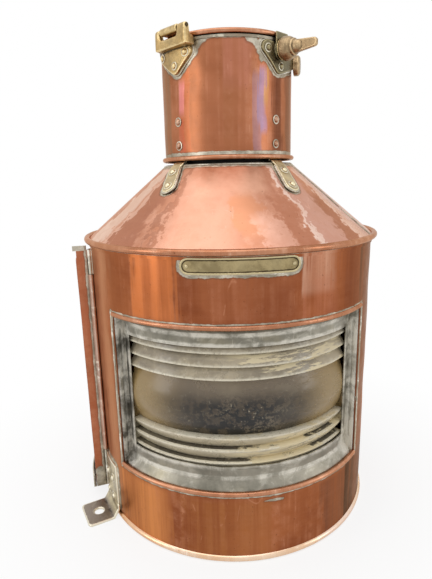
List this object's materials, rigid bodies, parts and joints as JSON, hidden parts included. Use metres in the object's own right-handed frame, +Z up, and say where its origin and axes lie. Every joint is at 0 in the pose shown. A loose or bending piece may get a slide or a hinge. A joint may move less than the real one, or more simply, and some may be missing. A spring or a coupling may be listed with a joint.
{
  "type": "oil signal lantern",
  "caption": "Sheet-copper oil lantern with a wide drum lens in front, a conical roof, a lidded chimney, a hinged back door and bolt-down feet.",
  "frame": {"origin": "centre of the base on the lamp's axis, on the plane it stands on", "axes": "+Z up along the lamp's axis; the middle of the lens looks along -Y; +X is to the right seen from the front"},
  "size_m": [0.3144, 0.3046, 0.4426],
  "materials": {
    "copper": "aged copper sheet, rubbed bright",
    "bright_copper": "rubbed copper",
    "tinned_copper": "smeared tin and solder over copper",
    "tinplate": "dull tinplate",
    "sooty_copper": "sooty copper",
    "brass": "aged cast and sheet brass",
    "steel": "dull steel",
    "foot_metal": "dull grey-brown plate",
    "lens_glass": "clear pressed glass",
    "thin_glass": "thin clear glass",
    "cotton": "woven cotton",
    "leather_seal": "plain leather"
  },
  "bodies": {
    "lamp": {"base_bead": "copper", "body_shell": "copper", "body_top_rim": "tinned_copper", "floor_plate": "tinned_copper", "opening_beads": "bright_copper", "lens_frame": "tinned_copper", "lens": "lens_glass", "lens_clips": "brass", "name_plate": "brass", "name_plate_pins": "brass", "front_foot": "foot_metal", "rear_foot": "foot_metal", "foot_rivets": "foot_metal", "roof": "copper", "inner_flue": "sooty_copper", "chimney_shell": "copper", "chimney_top_ring": "tinned_copper", "chimney_straps": "brass", "strap_rivets": "brass", "chimney_rivets": "copper", "lid_rests": "tinned_copper", "hinge_bracket": "brass", "hinge_bracket_rivets": "brass", "lid_hinge_pin": "steel", "catch_plate": "brass", "catch_plate_rivets": "brass", "round_stud": "brass", "catch_stud": "steel", "door_hinge_knuckles": "tinned_copper", "door_hinge_pin": "steel", "button_post": "brass", "font_guides": "tinned_copper"},
    "lid": {"lid_cover": "copper", "lid_bead": "bright_copper", "lid_skirt": "sooty_copper", "lid_hinge_leaf": "brass", "lid_hasp": "brass", "lid_rivets": "brass"},
    "nut_washer": {"catch_washer": "brass"},
    "thumb_nut": {"thumb_nut": "brass"},
    "door": {"door_shell": "copper", "door_knuckle": "tinned_copper", "door_top_rim": "tinned_copper", "door_tray": "tinned_copper", "door_knob": "brass"},
    "turn_button": {"turn_button": "brass"},
    "burner_unit": {"oil_font": "tinplate", "burner_collar": "brass", "burner_body": "brass", "wick_tube": "bright_copper", "glass_gallery": "brass", "lamp_glass": "thin_glass"},
    "cap_seal": {"cap_seal": "leather_seal"},
    "filler_cap": {"filler_cap": "brass"},
    "wick": {"wick": "cotton"},
    "wick_drive": {"wick_spindle": "brass", "wick_knob": "brass"}
  },
  "joints": [
    {"name": "door_hinge", "type": "hinge", "parent": "lamp", "child": "door", "pos_m": [-0.13258, -0.03902, 0.138], "axis": [0, 0, 1], "range_deg": [0, 75]},
    {"name": "turn_button_pivot", "type": "hinge", "parent": "lamp", "child": "turn_button", "pos_m": [0.07247, 0.13293, 0.138], "axis": [0.4787, 0.878, 0], "range_deg": [-90, 90]},
    {"name": "lid_hinge", "type": "hinge", "parent": "lamp", "child": "lid", "pos_m": [-0.05019, -0.04363, 0.4396], "axis": [0.6561, -0.7547, 0], "range_deg": [0, 110]},
    {"name": "thumb_nut_travel", "type": "slide", "parent": "lamp", "child": "nut_washer", "axis": [0.682, -0.7314, 0], "range_m": [0, 0.0048]},
    {"name": "thumb_nut_turn", "type": "hinge", "parent": "nut_washer", "child": "thumb_nut", "pos_m": [0.04467, -0.0479, 0.4235], "axis": [0.682, -0.7314, 0], "range_deg": [0, 1440.1]},
    {"name": "burner_slide", "type": "slide", "parent": "lamp", "child": "burner_unit", "axis": [-0.6613, 0.7501, 0], "range_m": [0, 0.06]},
    {"name": "wick_knob_turn", "type": "hinge", "parent": "burner_unit", "child": "wick_drive", "pos_m": [-0.02865, 0.0254, 0.0778], "axis": [-0.6613, 0.7501, 0], "range_deg": [-76.44, 191.04]},
    {"name": "wick_slide", "type": "slide", "parent": "burner_unit", "child": "wick", "axis": [0, 0, 1], "range_m": [-0.01, 0.004]},
    {"name": "cap_lift", "type": "slide", "parent": "burner_unit", "child": "cap_seal", "axis": [0, 0, 1], "range_m": [0, 0.005]},
    {"name": "cap_turn", "type": "hinge", "parent": "cap_seal", "child": "filler_cap", "pos_m": [0.02518, -0.02856, 0.0702], "axis": [0, 0, 1], "range_deg": [0, 720.1]}
  ],
  "couplings": [
    {"joint": "thumb_nut_turn", "follows": "thumb_nut_travel", "rad_per_m": 5236},
    {"joint": "wick_knob_turn", "follows": "wick_slide", "rad_per_m": -333.33},
    {"joint": "cap_turn", "follows": "cap_lift", "rad_per_m": 2513.3}
  ]
}
